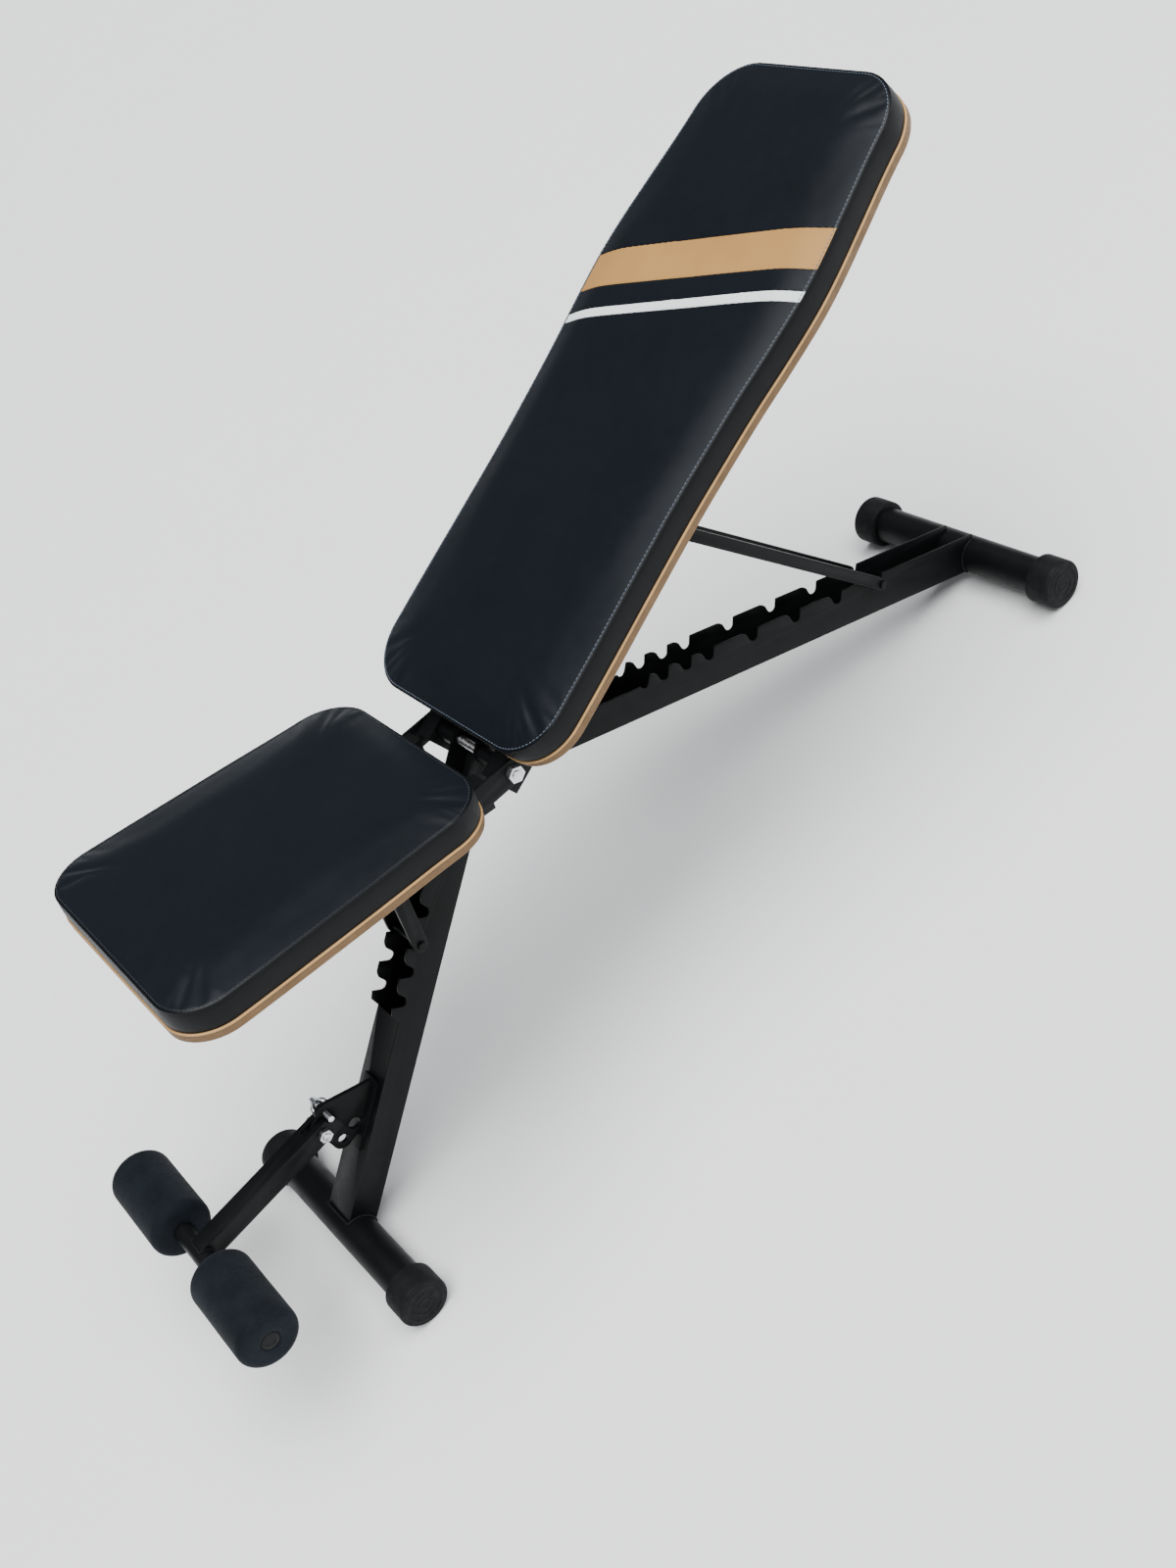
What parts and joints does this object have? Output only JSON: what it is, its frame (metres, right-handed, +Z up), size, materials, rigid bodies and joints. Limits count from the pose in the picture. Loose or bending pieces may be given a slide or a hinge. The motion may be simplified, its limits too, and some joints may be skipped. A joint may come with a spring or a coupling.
{
  "type": "sit-up bench",
  "caption": "Adjustable sit-up bench: hinged seat and contoured backrest on props latched in notched channels, round feet, and a foam-roller leg hold on a swinging arm.",
  "frame": {"origin": "centre of the bounding box at floor level", "axes": "+X from the leg hold to the rear foot, along the bench; +Y to the right of a person sitting on the seat and facing the leg hold; +Z up"},
  "size_m": [1.4942, 0.3712, 0.7459],
  "materials": {
    "frame_paint": "satin black powder coat, fine grain",
    "cap_rubber": "matt moulded black",
    "foam": "matt closed-cell foam, black with a blue cast",
    "vinyl": "soft semi-gloss black upholstery with fine grain",
    "edge_trim": "tan edge band with fine ribs",
    "board": "dark covered underside",
    "zinc_steel": "bright plated steel",
    "plug": "grey moulded plug"
  },
  "bodies": {
    "frame": {"front_foot_tube": "frame_paint", "rear_foot_tube": "frame_paint", "front_foot_cap_left": "cap_rubber", "front_foot_cap_right": "cap_rubber", "rear_foot_cap_left": "cap_rubber", "rear_foot_cap_right": "cap_rubber", "front_post": "frame_paint", "rear_beam": "frame_paint", "hinge_bolt": "zinc_steel", "hinge_nut": "zinc_steel", "hinge_spacer_left": "frame_paint", "hinge_spacer_right": "frame_paint", "leg_hold_bracket": "frame_paint", "leg_arm_pivot_bolt": "zinc_steel", "leg_arm_pivot_nut": "zinc_steel"},
    "seat": {"seat_board": "board", "seat_edge_trim": "edge_trim", "seat_cushion": "vinyl", "seat_rail_left": "frame_paint", "seat_rail_right": "frame_paint", "seat_pad_bolt_1": "zinc_steel", "seat_pad_bolt_2": "zinc_steel", "seat_pad_bolt_3": "zinc_steel", "seat_pad_bolt_4": "zinc_steel", "seat_hinge_strap_left": "frame_paint", "seat_hinge_strap_right": "frame_paint", "seat_prop_pivot_rod": "zinc_steel"},
    "seat_prop": {"seat_prop_arm_left": "frame_paint", "seat_prop_arm_right": "frame_paint", "seat_prop_latch_rod": "frame_paint"},
    "backrest": {"backrest_board": "board", "backrest_edge_trim": "edge_trim", "backrest_cushion": "vinyl", "backrest_rail_left": "frame_paint", "backrest_rail_right": "frame_paint", "backrest_pad_bolt_1": "zinc_steel", "backrest_pad_bolt_2": "zinc_steel", "backrest_pad_bolt_3": "zinc_steel", "backrest_pad_bolt_4": "zinc_steel", "backrest_prop_pivot_rod": "zinc_steel"},
    "backrest_prop": {"backrest_prop_arm_left": "frame_paint", "backrest_prop_arm_right": "frame_paint", "backrest_prop_latch_rod": "frame_paint"},
    "leg_hold": {"leg_arm": "frame_paint", "roller_cross_tube": "frame_paint", "cross_tube_plug_left": "plug", "cross_tube_plug_right": "plug"},
    "roller_left": {"foam_roller_left": "foam"},
    "roller_right": {"foam_roller_right": "foam"},
    "stop_pin": {"stop_pin": "zinc_steel"},
    "pin_ring": {"stop_pin_ring": "zinc_steel"}
  },
  "joints": [
    {"name": "backrest_tilt", "type": "hinge", "parent": "frame", "child": "backrest", "pos_m": [-0.06877, 0, 0.42], "axis": [0, -1, 0], "range_deg": [0, 44.3]},
    {"name": "backrest_prop_swing", "type": "hinge", "parent": "backrest", "child": "backrest_prop", "pos_m": [0.23425, 0, 0.51489], "axis": [0, 1, 0], "range_deg": [0, 33.23]},
    {"name": "seat_tilt", "type": "hinge", "parent": "frame", "child": "seat", "pos_m": [-0.06877, 0, 0.42], "axis": [0, 1, 0], "range_deg": [0, 10.1]},
    {"name": "seat_prop_swing", "type": "hinge", "parent": "seat", "child": "seat_prop", "pos_m": [-0.23227, 0, 0.4526], "axis": [0, 1, 0], "range_deg": [-4.05, 0]},
    {"name": "leg_hold_swing", "type": "hinge", "parent": "frame", "child": "leg_hold", "pos_m": [-0.51127, 0, 0.182], "axis": [0, 1, 0], "range_deg": [0, 45]},
    {"name": "roller_spin_left", "type": "hinge", "parent": "leg_hold", "child": "roller_left", "pos_m": [-0.70787, 0, 0.186], "axis": [0, 1, 0], "continuous": true},
    {"name": "roller_spin_right", "type": "hinge", "parent": "leg_hold", "child": "roller_right", "pos_m": [-0.70787, 0, 0.186], "axis": [0, 1, 0], "continuous": true},
    {"name": "stop_pin_pull", "type": "slide", "parent": "frame", "child": "stop_pin", "axis": [0, 1, 0], "range_m": [0, 0.035]},
    {"name": "pin_ring_swing", "type": "hinge", "parent": "stop_pin", "child": "pin_ring", "pos_m": [-0.49227, 0.0255, 0.1945], "axis": [1, 0, 0], "range_deg": [-20, 80]}
  ],
  "couplings": [
    {"joint": "backrest_prop_swing", "follows": "backrest_tilt", "ratio": 0.75},
    {"joint": "seat_prop_swing", "follows": "seat_tilt", "ratio": -0.4}
  ]
}
